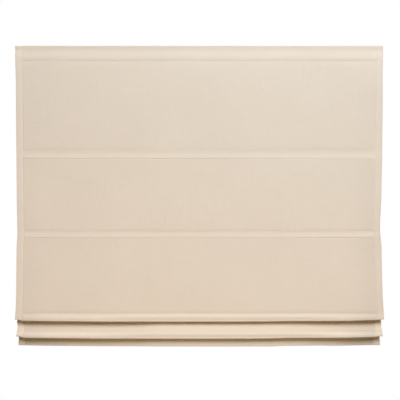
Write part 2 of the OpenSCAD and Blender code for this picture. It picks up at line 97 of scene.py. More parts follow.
LOFT = 0.8                 # loose cloth stands this far off its seams

# Shares of the way down a pocket, the head and the hem's back ply at which points lie
POCKET_SHARES = np.array([0, 0.03, 0.07, 0.12, 0.19, 0.28, 0.38, 0.48, 0.58, 0.67, 0.75, 0.82, 0.88, 0.93,
                          0.97])
HEAD_SHARES = np.concatenate([np.linspace(0, 0.8, 15), [0.85, 0.89, 0.92, 0.945, 0.965, 0.985]])
HEM_BACK_SHARES = np.array([0, 0.2, 0.4, 0.6, 0.8, 0.9, 1.0])
NEAR_SEAM = [0, 0.8, 1.6, 2.6, 4, 6, 9, 13, 19, 27]     # distances from a seam, in mm
PANEL_PITCH = 15.0         # from point to point, away from the seams
TIER_PITCH = 13.0
TURN_POINTS = 14           # round a lower edge
BEND_POINTS = 8            # round the head's fold or a crest


def ease(u):
    """From 0 to 1, level at both ends."""
    return u * u * (3 - 2 * u)


def step(low, high, value):
    """0 at low and 1 at high, eased between them."""
    return ease(np.clip((np.asarray(value, float) - low) / (high - low), 0, 1))


def arc(centre, radius, start, end, count):
    """Points on an arc from one angle in degrees to another, without the last one."""
    angle = np.radians(start + (end - start) * np.arange(count) / count)
    return np.column_stack([centre[0] + radius * np.cos(angle), centre[1] + radius * np.sin(angle)])


def run(start, end, along, bow=0.0):
    """Points from start to end that leave and arrive upright, at the shares along of the way."""
    y = start[0] + (end[0] - start[0]) * ease(along) + bow * np.sin(np.pi * along)
    return np.column_stack([y, start[1] + (end[1] - start[1]) * along])


def upright(y, start, end, count):
    return np.array([[y, z] for z in np.linspace(start, end, count)])


def spread(length, fine_start, fine_end, pitch):
    """Shares of a run's length, close together at the ends that carry a seam."""
    first = NEAR_SEAM if fine_start else [0]
    last = [length - v for v in NEAR_SEAM[:0:-1]] if fine_end else []
    low = first[-1]
    high = last[0] if last else length
    count = max(2, round((high - low) / pitch))
    between = [low + (high - low) * i / count for i in range(1, count)]
    return np.array(first + between + last) / length


# The line that the cloth follows, head to bottom

def cloth_line(turn_r, lift):
    """The line in (y, z), with a turn of radius turn_r under the two lower edges, which lie lift higher.
    Returns the points and, for each, its part, the share of the part and the seams that draw it in."""
    points, tags = [], []

    def put(new, part, along=None, seams=()):
        along = np.arange(len(new)) / len(new) if along is None else along
        points.append(new)
        tags.extend((part, u, seams) for u in along)

    def panel(part, start, end, seams):
        along = spread(start[1] - end[1], True, True, PANEL_PITCH)
        put(run(start, end, along), part, along, seams)

    def pocket(k):
        under = at[k] - [0, POCKET_H[k]]
        put(run(at[k], under, POCKET_SHARES), f"pocket{k}", POCKET_SHARES)
        return under

    def edge(k):
        centre = at[k] + [turn_r, turn_r + CLOTH_T / 2 - POCKET_H[k] + lift]
        put(run(at[k], centre - [turn_r, 0], POCKET_SHARES), f"edge{k}_front", POCKET_SHARES)
        put(arc(centre, turn_r, 180, 360, TURN_POINTS), f"edge{k}_turn")
        return centre + [turn_r, 0]

    def crest(part, start, centre, count, bow, top_part):
        along = np.arange(count) / count
        put(run(start, (centre[0] - CREST_R, centre[1]), along, bow), part, along)
        put(arc(centre, CREST_R, 180, 0, BEND_POINTS), top_part)
        return np.array([centre[0] + CREST_R, centre[1]])

    at = {k: np.array([SEAM_Y[k], SEAM_Z[k]]) for k in SEAM_Z}

    turn_z = TOP - CLOTH_T / 2 - HEAD_BEND
    put(upright(INNER_Y, TOP - HEAD_BAND - HEAD_LAP, turn_z - HEAD_LAP, 6), "head_in")
    put(arc((INNER_Y - HEAD_BEND, turn_z), HEAD_BEND, 0, 180, BEND_POINTS), "head_top")
    fold = np.array([INNER_Y - 2 * HEAD_BEND, turn_z])
    stitch_line = np.array([FACE_Y, TOP - HEAD_BAND])
    put(fold + (stitch_line - fold) * HEAD_SHARES[:, None], "head_front", HEAD_SHARES)

    panel("panel0", stitch_line, at[1], ("head", 1))
    panel("panel1", pocket(1), at[2], ("low1", 2))
    panel("panel2", pocket(2), at[3], ("low2", 3))
    start = crest("layer2", edge(3), CREST_A, 9, 0.0, "crest_a")

    along = spread(start[1] - at[4][1], False, True, TIER_PITCH)
    y = start[0] + (at[4][0] + SET_BACK - start[0]) * step(0, SWING_AT, along)
    y -= SET_BACK * np.clip((along - SWING_AT) / (1 - SWING_AT), 0, 1) ** 2
    put(np.column_stack([y, start[1] + (at[4][1] - start[1]) * along]), "layer3", along, (4,))
    start = crest("layer4", edge(4), CREST_B, 12, RISER_BOW, "crest_b")

    hem_top = BOTTOM + HEM_H
    along = spread(start[1] - hem_top, False, True, TIER_PITCH)
    put(run(start, (HEM_Y, hem_top), along), "skirt", along)
    put(upright(HEM_Y, hem_top, BAR_Z + HEM_END, 9), "hem_front")
    put(arc((HEM_Y + BAR_BEND, BAR_Z), BAR_BEND, 180, 360, TURN_POINTS), "hem_turn")
    back_start = (HEM_Y + BAR_BEND + BAR_BEND, BAR_Z + BAR_H)
    put(run(back_start, (HEM_Y + PLY, hem_top - HEM_END), HEM_BACK_SHARES), "hem_back")
    return np.vstack(points), tags


rod_line, tags = cloth_line(FOLD_R, 0.0)
flat_line, _ = cloth_line(FLAT_R, EDGE_LIFT)
ROWS = len(tags)
part = [tag[0] for tag in tags]
share = np.array([tag[1] for tag in tags])[:, None]     # of the way along its part, for each row


def is_part(*names):
    """1 for each row of these parts and 0 for the others, as a column."""
    return np.array([name in names for name in part], float)[:, None]


def part_rows(*names):
    return [row for row, name in enumerate(part) if name in names]


# Columns across the cloth: x, and how far the ply lies behind the face ply

SIDE_BEND = PLY / 2        # turn of the side hem
half = [(-x, PLY) for x in (580.5, 584, 588, 592, 596, 599.2)]
for angle in np.radians((30, 60, 90, 120, 150)):
    half.append((SIDE_BEND - HALF_W - SIDE_BEND * math.sin(angle), SIDE_BEND + SIDE_BEND * math.cos(angle)))
half += [(-x, 0.0) for x in (599.2, 596, 592, 588, 585, 583, 581.6, 580.6, 579.6, 578.6, 577.4, 575.6, 573,
                             569, 563)]
between_hems = [(x, 0.0) for x in np.linspace(-553, 553, 80)]
columns = half + between_hems + [(-x, ply) for x, ply in half[::-1]]
col_x = np.array([x for x, _ in columns])
col_ply = np.array([ply for _, ply in columns])
from_middle = np.abs(col_x)


def path_normals(points):
    way = np.gradient(points, axis=0)
    way /= np.linalg.norm(way, axis=1)[:, None]
    return np.column_stack([-way[:, 1], way[:, 0]])


# The cloth's surface: rod pockets between the hems, flat at the hems

has_rod = 1 - step(578.4, 584.5, from_middle)           # 1 where a rod lies behind the cloth
sewn = 1 - step(572.5, 580.5, from_middle)              # 1 where pocket seams draw the cloth in
before_hem = 1 - step(577, 581, col_x)                  # 0 at the right side hem


def blend(at_rod, at_hem):
    """One line's values between the hems, and the other's at the hems."""
    return at_rod[:, None, :] * has_rod[:, None] + at_hem[:, None, :] * (1 - has_rod)[:, None]


line = blend(rod_line, flat_line)
normal = blend(path_normals(rod_line), path_normals(flat_line))
TIGHT = {"head_top": 0.35, "edge3_turn": 0.8, "edge4_turn": 0.8}     # share of the plies' gap in a turn
tight = np.array([TIGHT.get(name, 1.0) for name in part])[:, None]
X = np.repeat(col_x[None, :], ROWS, 0)
Y = line[:, :, 0] + normal[:, :, 0] * col_ply * tight
Z = line[:, :, 1] + normal[:, :, 1] * col_ply * tight
base_z = line[:, :, 1]

# Loose cloth stands off a little, and each seam draws it in, a little unevenly

SEAMS = {                  # height, width and depth of each
    "head": (TOP - HEAD_BAND, 10.0, 1.0),
    1: (SEAM_Z[1], 9.0, 1.0),
    "low1": (SEAM_Z[1] - POCKET_H[1], 1.0, 0.65),
    2: (SEAM_Z[2], 6.0, 1.0),
    "low2": (SEAM_Z[2] - POCKET_H[2], 1.0, 0.75),
    3: (SEAM_Z[3], 6.0, 1.0),
    4: (SEAM_Z[4], 6.0, 1.0),
}
SEAM_EVEN = 0.8            # mean share of a seam's depth
SEAM_WAVES = ((0.15, 61), (0.12, 23), (0.08, 9.7))      # height and length of the waves along a seam
SEAM_PHASE = 1.7           # from one seam to the next


def drawn_in(row, seam):
    height, wide, deep = SEAMS[seam]
    phase = list(SEAMS).index(seam) * SEAM_PHASE
    uneven = SEAM_EVEN
    for i, (wave_height, length) in enumerate(SEAM_WAVES, 1):
        uneven = uneven + wave_height * np.sin(col_x / length + i * phase)
    return deep * uneven * np.exp(-((base_z[row] - height) / wide) ** 2)


loft = np.zeros_like(Y)
for row, (name, along, seams) in enumerate(tags):
    if seams:
        loft[row] = LOFT * (1 - sewn * np.max([drawn_in(row, seam) for seam in seams], axis=0))
    if name == "layer3":
        loft[row] *= step(0.2, 0.6, along)

# Over a pocket the cloth comes forward down to the rod, with a thin notch at the lower seam

POCKET_REST = 0.15         # how far it stands off at the upper seam
POCKET_NOTCH = 0.25        # share that the lower seam takes back
for k, swell_from, swell in ((1, 0.3, 0.95), (2, 0.12, 1.1)):
    forward = POCKET_REST + swell * step(swell_from, 0.92, share)
    forward *= 1 - POCKET_NOTCH * step(0.955, 1.0, share)
    loft += is_part(f"pocket{k}") * (forward * sewn + LOFT * (1 - sewn))

# At a lower edge it swings forward and turns under, curls back in the middle and swings less at its ends

SWING_SIDES = 3.1
CURL_SIDES = 0.4
SWING_MIDDLE = 2.6
CURL_MIDDLE = 1.2
SWING_LESS = 0.9           # at the ends
SWING_HEM = 0.35           # share of the swing that a side hem has
middle = step(-340, -170, col_x) * (1 - step(330, 520, col_x))
ends = 1 - step(-590, -440, col_x) + step(480, 580, col_x)
swing = step(0.05, 0.74, share)
to_back = 0.5 + 0.5 * np.cos(np.pi * share)             # from 1 to 0 round a turn
at_sides = SWING_SIDES * swing - CURL_SIDES * step(0.68, 1.0, share)
at_middle = SWING_MIDDLE * step(0.0, 0.56, share) - CURL_MIDDLE * step(0.46, 1.0, share)
front_swing = at_sides * (1 - middle) + at_middle * middle - SWING_LESS * swing * ends
turn_swing = ((SWING_SIDES - CURL_SIDES) * (1 - middle) + (SWING_MIDDLE - CURL_MIDDLE) * middle
              - SWING_LESS * ends)
edge_front = is_part("edge3_front", "edge4_front")
edge_turn = is_part("edge3_turn", "edge4_turn")
loft += (edge_front * front_swing + edge_turn * turn_swing * to_back) * (SWING_HEM + (1 - SWING_HEM) * sewn)
loft += edge_front * (1 - ease(share)) * LOFT * (1 - sewn)

# The head stands off between its fold and its stitch line

HEAD_OUT = 3.2             # at the stitch line
HEAD_STITCH = 0.5          # the stitches take this back
HEAD_UNDER = 2.55          # the cloth just under the head
HEAD_EDGE = 0.8            # the top edge
head = is_part("head_front")
loft += head * (HEAD_OUT * step(0.12, 0.88, share) - HEAD_STITCH * step(0.9, 1.0, share) * sewn)
loft += is_part("panel0") * HEAD_UNDER * (1 - step(0, 0.9, share))
loft += HEAD_EDGE * (head * (1 - step(0, 0.34, share)) + is_part("head_top") * step(0.2, 1, share))

# Loose cloth between the seams swells very slightly

SWELL = 0.8
SWELL_MEAN = 0.5
# Height, length across, length down and phase of each wave
SWELL_WAVES = ((0.55, 83, 150, 0.4), (0.45, 131, -97, 1.9), (0.3, 47, 71, 3.1), (0.2, 29, -39, 0.0))
panels = is_part("panel0", "panel1", "panel2")
wave = sum(height * np.sin(X / across + base_z / down + phase) for height, across, down, phase in SWELL_WAVES)
loft += panels * np.sin(np.pi * share) ** 0.7 * (wave + SWELL_MEAN) * SWELL
Y -= loft

# The second tier hangs nearer to the first in the middle, and further back at its ends, where its edge is out

TIER_MIDDLE = 4.2          # nearer by this much
TIER_LEFT = 2.6            # further back by this much
TIER_RIGHT = 2.2
TIER_EDGE = 0.4            # share of this at the tier's own edge
OUT_LEFT = 4.8
OUT_RIGHT = 4.2
HEM_MIDDLE = 4.4           # the bottom hem's front ply comes forward too
tier_middle = step(-240, -110, col_x) * (1 - step(190, 470, col_x))
tier_back = (TIER_LEFT * (1 - step(-600, -330, col_x)) - TIER_MIDDLE * tier_middle
             + TIER_RIGHT * step(490, 570, col_x))
front4 = is_part("edge4_front")
turn4 = is_part("edge4_turn")
Y += (is_part("layer3") * step(0.25, 0.75, share) + front4 * (1 - (1 - TIER_EDGE) * step(0, 0.9, share))
      + turn4 * TIER_EDGE * to_back) * tier_back
edge_out = OUT_LEFT * (1 - step(-600, -240, col_x)) + OUT_RIGHT * step(330, 560, col_x)
Y -= (front4 * ease(share) + turn4 * to_back) * edge_out
Y -= (is_part("skirt") * step(0.4, 1, share) + is_part("hem_front")
      + is_part("hem_turn") * to_back) * HEM_MIDDLE * tier_middle

# A faint line of stitches draws in each side hem

SIDE_LINE_X = HALF_W - SIDE_HEM - 1
SIDE_LINE_W = 1.6
SIDE_LINE_DEEP = 0.5
side_line = SIDE_LINE_DEEP * np.exp(-((from_middle - SIDE_LINE_X) / SIDE_LINE_W) ** 2) * (col_ply == 0)
Y += normal[:, :, 0] * side_line
Z += normal[:, :, 1] * side_line

# The lower edges sag a little between the sides, more to the left

SAG = [("head_in", 0.0), ("panel0", 0.0), ("pocket1", 0.4), ("pocket2", 0.8), ("edge3_front", 1.6),
       ("edge3_turn", 2.4), ("crest_a", 0.6), ("edge4_front", 2.2), ("edge4_turn", 3.0), ("crest_b", 0.6),
       ("hem_front", 3.2), ("hem_back", 3.6)]           # at the first row of each part
SAG_LEFT = 1.0
sag = np.interp(np.arange(ROWS), [part.index(name) for name, _ in SAG], [drop for _, drop in SAG])
low3 = is_part("edge3_turn") + is_part("edge3_front") * step(0.3, 1, share)
low4 = turn4 + front4 * step(0.3, 1, share)
low_hem = (is_part("hem_turn") + is_part("hem_front") * step(0.3, 1, share)
           + is_part("hem_back") * (1 - step(0, 0.5, share)))
Z -= sag[:, None] * (1 - np.clip(from_middle / HALF_W, 0, 1) ** 4)
Z -= SAG_LEFT * (low3 + low4) * (step(-430, -310, col_x) * (1 - step(90, 300, col_x)))

# They lie a little higher towards the right, and most at the right end

RISE_3, END_RISE_3 = 0.9, 1.6
RISE_4, END_RISE_4 = 1.3, 0.9
RISE_HEM, END_RISE_HEM = 1.8, 0.6
DIP_HEM = 1.2              # the bottom hem drops again beyond the middle of the right half
rise = step(225, 300, col_x)
end_rise = step(480, 560, col_x) * before_hem
Z += low3 * (RISE_3 * rise + END_RISE_3 * end_rise) + low4 * (RISE_4 * rise + END_RISE_4 * end_rise)
Z += low_hem * (RISE_HEM * rise - DIP_HEM * step(400, 450, col_x) + END_RISE_HEM * end_rise)

# The two flat pockets' lower lines aren't quite level at the right

off_level = step(300, 420, col_x) * before_hem
for k, shift in ((1, -2.4), (2, 1.3)):
    low_line = is_part(f"pocket{k}") * share ** 2 + is_part(f"panel{k}") * (1 - step(0, 0.15, share))
    Z += low_line * shift * off_level

# The sides are drawn in towards the second pocket, more on the right, and flare at the lower edges.
# Each pair is a height and how far the side lies in; the low pairs are for the tiers behind.

LEFT_IN = [(-5, 0.2), (-83, 2.6), (-266, 3.1), (-422, 5.0), (-579, 7.4), (-605, 7.3), (-631, 5.4),
           (-787, 4.8), (-840, 3.4), (-868, 0.6)]
RIGHT_IN = [(-5, 1.0), (-83, 2.6), (-161, 2.0), (-344, 3.2), (-474, 6.2), (-553, 10.5), (-579, 10.9),
            (-631, 6.0), (-709, 5.5), (-787, 4.0), (-868, -0.9)]
LOW_LEFT = [(-700, 8.0), (-850, 6.0), (-880, 0.0), (-896, 3.2), (-920, 1.4), (-940, 0.8), (-955, -0.4)]
LOW_RIGHT = [(-700, 8.0), (-850, 5.0), (-880, 0.6), (-896, 1.8), (-920, -1.0), (-940, 0.6), (-955, -0.6)]
in_front = is_part("head_front", "panel0", "pocket1", "panel1", "pocket2", "panel2", "edge3_front",
                   "edge3_turn")
behind = is_part("layer2", "crest_a", "layer3", "edge4_front", "edge4_turn", "layer4", "crest_b", "skirt",
                 "hem_front", "hem_turn", "hem_back")


def pulled(side):
    heights, inward = zip(*side[::-1])
    return np.interp(base_z, heights, inward)


left_in = in_front * pulled(LEFT_IN) + behind * pulled(LOW_LEFT)
right_in = in_front * pulled(RIGHT_IN) + behind * pulled(LOW_RIGHT)
X += step(380, HALF_W, np.abs(X)) * np.where(X < 0, left_in, -right_in)


def shown(name, verts, faces):
    """A smooth mesh object in the scene."""
    mesh = bpy.data.meshes.new(name)
    mesh.from_pydata(verts, [], faces)
    mesh.polygons.foreach_set("use_smooth", np.ones(len(mesh.polygons), bool))
    mesh.update()
    obj = bpy.data.objects.new(name, mesh)
    bpy.context.scene.collection.objects.link(obj)
    return obj


def grid_mesh(name, points, thick):
    """A closed sheet of that thickness round a grid of points, and the grid's normals."""
    normals = np.cross(np.gradient(points, axis=0), np.gradient(points, axis=1))
    normals /= np.maximum(np.linalg.norm(normals, axis=2), 1e-9)[:, :, None]
    rows, cols = points.shape[:2]
    count = rows * cols
    front, back = points - normals * thick / 2, points + normals * thick / 2
    verts = np.concatenate([front.reshape(-1, 3), back.reshape(-1, 3)]) * MM
    index = np.arange(count).reshape(rows, cols)
    corners = [index[:-1, :-1], index[1:, :-1], index[1:, 1:], index[:-1, 1:]]
    quads = np.stack(corners, -1).reshape(-1, 4)
    rim = np.concatenate([index[0, :-1], index[:-1, -1], index[-1, :0:-1], index[:0:-1, 0]])
    after = np.roll(rim, -1)
    edge_quads = np.stack([rim, after, after + count, rim + count], -1)
    faces = np.concatenate([quads, quads[:, ::-1] + count, edge_quads])
    return shown(name, verts.tolist(), faces.tolist()), normals


cloth, cloth_n = grid_mesh("cloth", np.stack([X, Y, Z], -1), CLOTH_T)

# The cloth is lighter where it lies double, and it is painted lighter still in the middle of the second tier
# as painted light; painted shade darkens it beside the hems, at the tiers' ends and along the hems' outer
# edges

LIGHTER = 0.07             # where the weight below is 1
OUTER_EDGE_PAINTED_SHADE = 0.045
hem_weight = np.where(col_x > 0, 0.35, 0.6) * step(578, 581, from_middle)
weights = [
    0.15 * is_part("head_in", "head_top", "head_front"),
    0.25 * (is_part("pocket1") * step(0.15, 0.4, share) + is_part("pocket2")) * has_rod,
    0.5 * (edge_front + edge_turn),
    # the extra weight in the middle of the second tier is painted light, not a real ply
    is_part("layer3") * (0.7 + 0.45 * tier_middle),
    (front4 + turn4) * (0.5 + 0.65 * tier_middle),
    0.2 * is_part("hem_front", "hem_turn", "hem_back"),
]
double_ply_and_painted_light = np.repeat(hem_weight[None, :], ROWS, 0)
for weight in weights:
    double_ply_and_painted_light = np.maximum(double_ply_and_painted_light, weight)


def painted_shade_towards_ends(left, left_span, right, right_span):
    """Amounts of painted shade that grow towards the left and the right end."""
    return np.where(X > 0, right * step(*right_span, X), left * step(*left_span, X))


last_tiers = front4 + turn4 + is_part("hem_front", "hem_turn")
tiers = last_tiers + is_part("edge3_front", "edge3_turn", "layer3")
# painted shade on the panels beside the hems, growing towards the bottom, and at the ends of the tiers
painted_shade = (1 - double_ply_and_painted_light) * panels * step(250, -700, base_z) * painted_shade_towards_ends(0.03, (-500, -575), 0.055, (470, 575))
painted_shade += tiers * (1 - step(577, 580, from_middle)) * painted_shade_towards_ends(0.08, (-470, -575), 0.11, (440, 570))
painted_shade += last_tiers * painted_shade_towards_ends(0.06, (-370, -550), 0.08, (440, 570))
# the hems' outer edges also get painted shade
ply_light_and_painted_shade = (1 + LIGHTER * double_ply_and_painted_light - painted_shade - OUTER_EDGE_PAINTED_SHADE * step(590, 599, from_middle)).reshape(-1)
attribute = cloth.data.attributes.new("ply_light_and_painted_shade", "FLOAT", "POINT")
attribute.data.foreach_set("value", np.concatenate([ply_light_and_painted_shade, ply_light_and_painted_shade]).astype(np.float32))


# Small tubes, for stitches and ties

class Tubes:
    """Many tubes that become one mesh."""

    TAPER = 0.45           # radius at an open end, as a share
    REFERENCE = np.array([0.31, 0.22, 0.93])            # a way that no thread runs

    def __init__(self):
        self.verts, self.faces = [], []

    def add(self, points, radius, sides, closed=False):
        points = np.asarray(points, float)
        count = len(points)
        way = np.roll(points, -1, 0) - np.roll(points, 1, 0) if closed else np.gradient(points, axis=0)
        way /= np.linalg.norm(way, axis=1)[:, None]
        across = np.cross(way, self.REFERENCE)
        across /= np.linalg.norm(across, axis=1)[:, None]
        up = np.cross(way, across)
        radii = np.full(count, radius)
        if not closed:
            radii[[0, -1]] = radius * self.TAPER
        angle = (np.arange(sides) * 2 * math.pi / sides)[None, :, None]
        rings = points[:, None] + radii[:, None, None] * (np.cos(angle) * across[:, None]
                                                          + np.sin(angle) * up[:, None])
        first = len(self.verts)
        self.verts.extend((rings.reshape(-1, 3) * MM).tolist())
        for i in range(count if closed else count - 1):
            here = first + i * sides
            there = first + (i + 1) % count * sides
            for m in range(sides):
                n = (m + 1) % sides
                self.faces.append((here + m, here + n, there + n, there + m))
        if not closed:
            end = first + (count - 1) * sides
            self.faces.append(tuple(range(first, first + sides))[::-1])
            self.faces.append(tuple(range(end, end + sides)))

    def make(self, name):
        return shown(name, self.verts, self.faces)


face_cols = np.where(col_ply == 0)[0]


def cloth_at(row, x):
    """The cloth's middle and its normal at a row, at x."""
    xs = X[row, face_cols]
    point = [np.interp(x, xs, values[row, face_cols]) for values in (X, Y, Z)]
    out = np.array([np.interp(x, xs, cloth_n[row, face_cols, i]) for i in range(3)])
    return np.array(point), out / np.linalg.norm(out)


def nearest_col(x):
    return int(np.argmin(np.abs(col_x - x) + 1e3 * (col_ply != 0)))


def vertices(name):
    return np.array([v.co[:] for v in nodes[name].data.vertices]) / MM


# Rod pockets: strips sewn to the cloth's back, each round its rod

STRIP_T = 0.5
STRIP_HALF = 579.0
STRIP_GAP = CLOTH_T / 2 + STRIP_T / 2 + 0.05            # from the cloth's middle to the strip's, where sewn
ROD_CLEAR = 0.45           # the strip stays clear of the rod's caps
STRIP_LAP = (2.6, 1.3, 0)  # points above the upper seam
STRIP_END = (1.2, 2.4)     # points below the lower seam
STRIP_WAVE = 0.22
STRIP_TURN = 0.9           # below its turn under the rod, the strip is halfway back to the cloth
STRIP_MEETS = 2.4          # and here it meets the cloth
LOW_SEAM = 3.0             # the lower seam lies at least this far below the turn
FREE_END = 3.4             # a strip without a lower seam ends this far below the turn
strip_x = np.linspace(-STRIP_HALF, STRIP_HALF, 100)


def strip_column(x, k, rod, reach, front, below):
    """The strip's points in (y, z) at x: down from the upper seam, round the rod and back to the cloth."""
    rod_y, rod_z = rod
    first = part_rows(front)[0] - 4
    last = part_rows(below)[0] + 5 if below else part_rows(front)[-1]
    spots = np.array([cloth_at(row, x)[0] for row in range(last, first - 1, -1)])

    def behind_cloth(z):
        return np.interp(z, spots[:, 2], spots[:, 1] + STRIP_GAP)

    seam_z = cloth_at(part_rows(front)[0], x)[0][2]
    under_rod = rod_z - reach
    low_z = under_rod - FREE_END
    if below:
        low_z = min(cloth_at(part_rows(below)[0], x)[0][2], under_rod - LOW_SEAM)
    col = [(behind_cloth(seam_z + d), seam_z + d) for d in STRIP_LAP]
    seam_y = col[-1][0]
    for u in (0.06, 0.14, 0.28, 0.44, 0.6, 0.75, 0.88):
        z = seam_z + (rod_z - seam_z) * u
        y = seam_y + (rod_y + reach - seam_y) * math.sin(u * math.pi / 2) ** 1.15
        y += STRIP_WAVE * math.sin(x / 37 + 2 * k) * math.sin(math.pi * u)
        col.append((max(y, behind_cloth(z)), z))
    for a in (0, 18, 36, 54, 72, 90):
        col.append((rod_y + reach * math.cos(math.radians(a)), rod_z - reach * math.sin(math.radians(a))))
    turn_z = under_rod - STRIP_TURN
    col.append(((rod_y + behind_cloth(turn_z)) / 2, turn_z))
    col += [(behind_cloth(z), z) for z in np.linspace(under_rod - STRIP_MEETS, low_z, 5)]
    if below:
        col += [(behind_cloth(low_z - d), low_z - d) for d in STRIP_END]
    return col


strips, strip_widths, strip_seams = {}, {}, []
for k, front, below in ((1, "pocket1", "panel1"), (2, "pocket2", "panel2"), (3, "edge3_front", None),
                        (4, "edge4_front", None)):
    rod_low, rod_high = vertices(f"fold_rod_{k}")[:, 1:].min(0), vertices(f"fold_rod_{k}")[:, 1:].max(0)
    reach = (rod_high[0] - rod_low[0]) / 2 + STRIP_T / 2 + ROD_CLEAR
    grid = np.array([strip_column(x, k, (rod_low + rod_high) / 2, reach, front, below) for x in strip_x])
    grid = grid.transpose(1, 0, 2)
    grid = np.concatenate([np.repeat(strip_x[None, :, None], len(grid), 0), grid], 2)
    strips[k], strip_n = grid_mesh(f"pocket_strip_{k}", grid, STRIP_T)
    strip_widths[k] = float(np.linalg.norm(np.diff(grid, axis=0), axis=2).sum(0).mean())
    if below:
        for row in (STRIP_LAP.index(0), -1 - len(STRIP_END)):
            strip_seams.append((grid[row], strip_n[row]))

# Stitches along the seams, on the strips, on the cloth's face and on the back of the bottom hem

STITCH = 2.7               # length
STITCH_PITCH = 3.6
STITCH_LOW = 0.08          # a stitch's ends over the cloth
STITCH_HIGH = 0.2          # its middle over the cloth
STITCH_RISE = 0.14         # its middle over its ends, on the cloth's own seams
THREAD_R = 0.26
THREAD_SIDES = 5
SEAM_START, SEAM_END = -575.0, 572.5
stitch_x = np.arange(SEAM_START, SEAM_END, STITCH_PITCH)
stitch_tubes = Tubes()


def stitch_along(start, places, points, normals, off):
    """One stitch on a line of points whose places along it are given; off is from the line to the surface."""
    thread = []
    for place, high in ((start, STITCH_LOW), (start + STITCH / 2, STITCH_HIGH), (start + STITCH, STITCH_LOW)):
        point = np.array([np.interp(place, places, points[:, i]) for i in range(3)])
        out = np.array([np.interp(place, places, normals[:, i]) for i in range(3)])
        thread.append(point + math.copysign(1, off) * out * (abs(off) + high))
    stitch_tubes.add(thread, THREAD_R, THREAD_SIDES)


for points, normals in strip_seams:
    for x in stitch_x:
        stitch_along(x, strip_x, points, normals, STRIP_T / 2)

SEAM_PARTS = ("panel0", "pocket1", "panel1", "pocket2", "panel2", "edge3_front", "edge4_front", "hem_front")
seam_rows = [(part_rows(name)[0], -1) for name in SEAM_PARTS]
seam_rows.append((part_rows("hem_back")[-2], 1))
for row, face in seam_rows:
    for x in stitch_x:
        (a, a_out), (b, b_out) = cloth_at(row, x), cloth_at(row, x + STITCH)
        a = a + face * a_out * (CLOTH_T / 2 + STITCH_LOW)
        b = b + face * b_out * (CLOTH_T / 2 + STITCH_LOW)
        top = (a + b) / 2 + face * (a_out + b_out) / 2 * STITCH_RISE
        stitch_tubes.add([a, top, b], THREAD_R, THREAD_SIDES)

# Stitches along the side hems, down the straight runs
for side in (-1, 1):
    col = nearest_col(side * (HALF_W - SIDE_HEM))
    for name in ("panel0", "panel1", "panel2", "layer3", "skirt"):
        rows = part_rows(name)
        points = np.column_stack([X[rows, col], Y[rows, col], Z[rows, col]])
        places = np.concatenate([[0], np.cumsum(np.linalg.norm(np.diff(points, axis=0), axis=1))])
        for start in np.arange(3.0, places[-1] - 4, STITCH_PITCH):
            stitch_along(start, places, points, cloth_n[rows, col], -CLOTH_T / 2)
stitches = stitch_tubes.make("seam_stitches")

# Thread ties that hold the rings: to the cloth's back, or round the wire alone at the hidden fold

RING_WIRE = 1.2
RING_STEP = 3.0            # heights further apart than this are in different rings
FOLD_RING_Z = -770.5
FOLD_RING_NEAR = 8.0       # rings this near to that height are the fold's
TIE_R = 0.24
TIE_SIDES = 6
TIE_POINTS = 14
TIE_PLACES = (-0.75, -0.25, 0.25, 0.75)                 # across the ring's wire
TIE_CLEAR = 0.32           # thread's middle to the wire
TIE_UNEVEN = 0.06          # every other loop is this much wider
TIE_SUNK = 0.2             # how far a loop goes into the cloth
FOLD_TIE_DROP = 0.35       # the loops at the fold hang this much lower
ties = Tubes()


def rings_of(name):
    """The points of each ring of a node, from the lowest ring up."""
    points = vertices(name)
    heights = np.unique(np.round(points[:, 2], 1))
    groups = np.split(heights, np.where(np.diff(heights) > RING_STEP)[0] + 1)
    return [points[(points[:, 2] > g[0] - 0.2) & (points[:, 2] < g[-1] + 0.2)] for g in groups]


def tie(ring):
    low, high = ring.min(0), ring.max(0)
    ring_x, _, ring_z = (low + high) / 2
    wire_y = low[1] + RING_WIRE
    rows = part_rows("panel0", "panel1", "panel2")[::-1]
    col = nearest_col(ring_x)
    back_y = np.interp(ring_z, Z[rows, col], Y[rows, col]) + CLOTH_T / 2 - TIE_SUNK
    angles = np.linspace(0, 2 * math.pi, TIE_POINTS + 1)[:-1]
    for i, off in enumerate(TIE_PLACES):
        high_r = RING_WIRE + TIE_CLEAR + TIE_UNEVEN * (i % 2)
        centre_y, centre_z, deep_r = wire_y, ring_z - FOLD_TIE_DROP, high_r
        if abs(ring_z - FOLD_RING_Z) >= FOLD_RING_NEAR:
            centre_y, centre_z = (back_y + wire_y + high_r) / 2, ring_z
            deep_r = (wire_y + high_r - back_y) / 2
        loop_y = centre_y + deep_r * np.cos(angles)
        loop_z = centre_z + high_r * np.sin(angles)
        loop = np.column_stack([np.full(TIE_POINTS, ring_x + off), loop_y, loop_z])
        ties.add(loop, TIE_R, TIE_SIDES, closed=True)


for name in ("cord_rings_left", "cord_rings_centre", "cord_rings_right"):
    for ring in rings_of(name):
        tie(ring)
ring_ties = ties.make("ring_ties")


# Materials

def material(name, color, rough, metallic=0.0):
    mat = bpy.data.materials.new(name)
    mat.use_nodes = True
    tree = mat.node_tree
    shader = tree.nodes["Principled BSDF"]
    shader.inputs["Base Color"].default_value = (*color, 1)
    shader.inputs["Roughness"].default_value = rough
    shader.inputs["Metallic"].default_value = metallic
    return mat, tree, shader


def add(tree, kind, **values):
    node = tree.nodes.new(kind)
    for key, value in values.items():
        if key in node.inputs:
            node.inputs[key].default_value = value
        else:
            setattr(node, key, value)
    return node


def coords(tree, scale):
    place = add(tree, "ShaderNodeTexCoord")
    mapping = add(tree, "ShaderNodeMapping", Scale=scale)
    tree.links.new(place.outputs["Object"], mapping.inputs["Vector"])
    return mapping.outputs["Vector"]


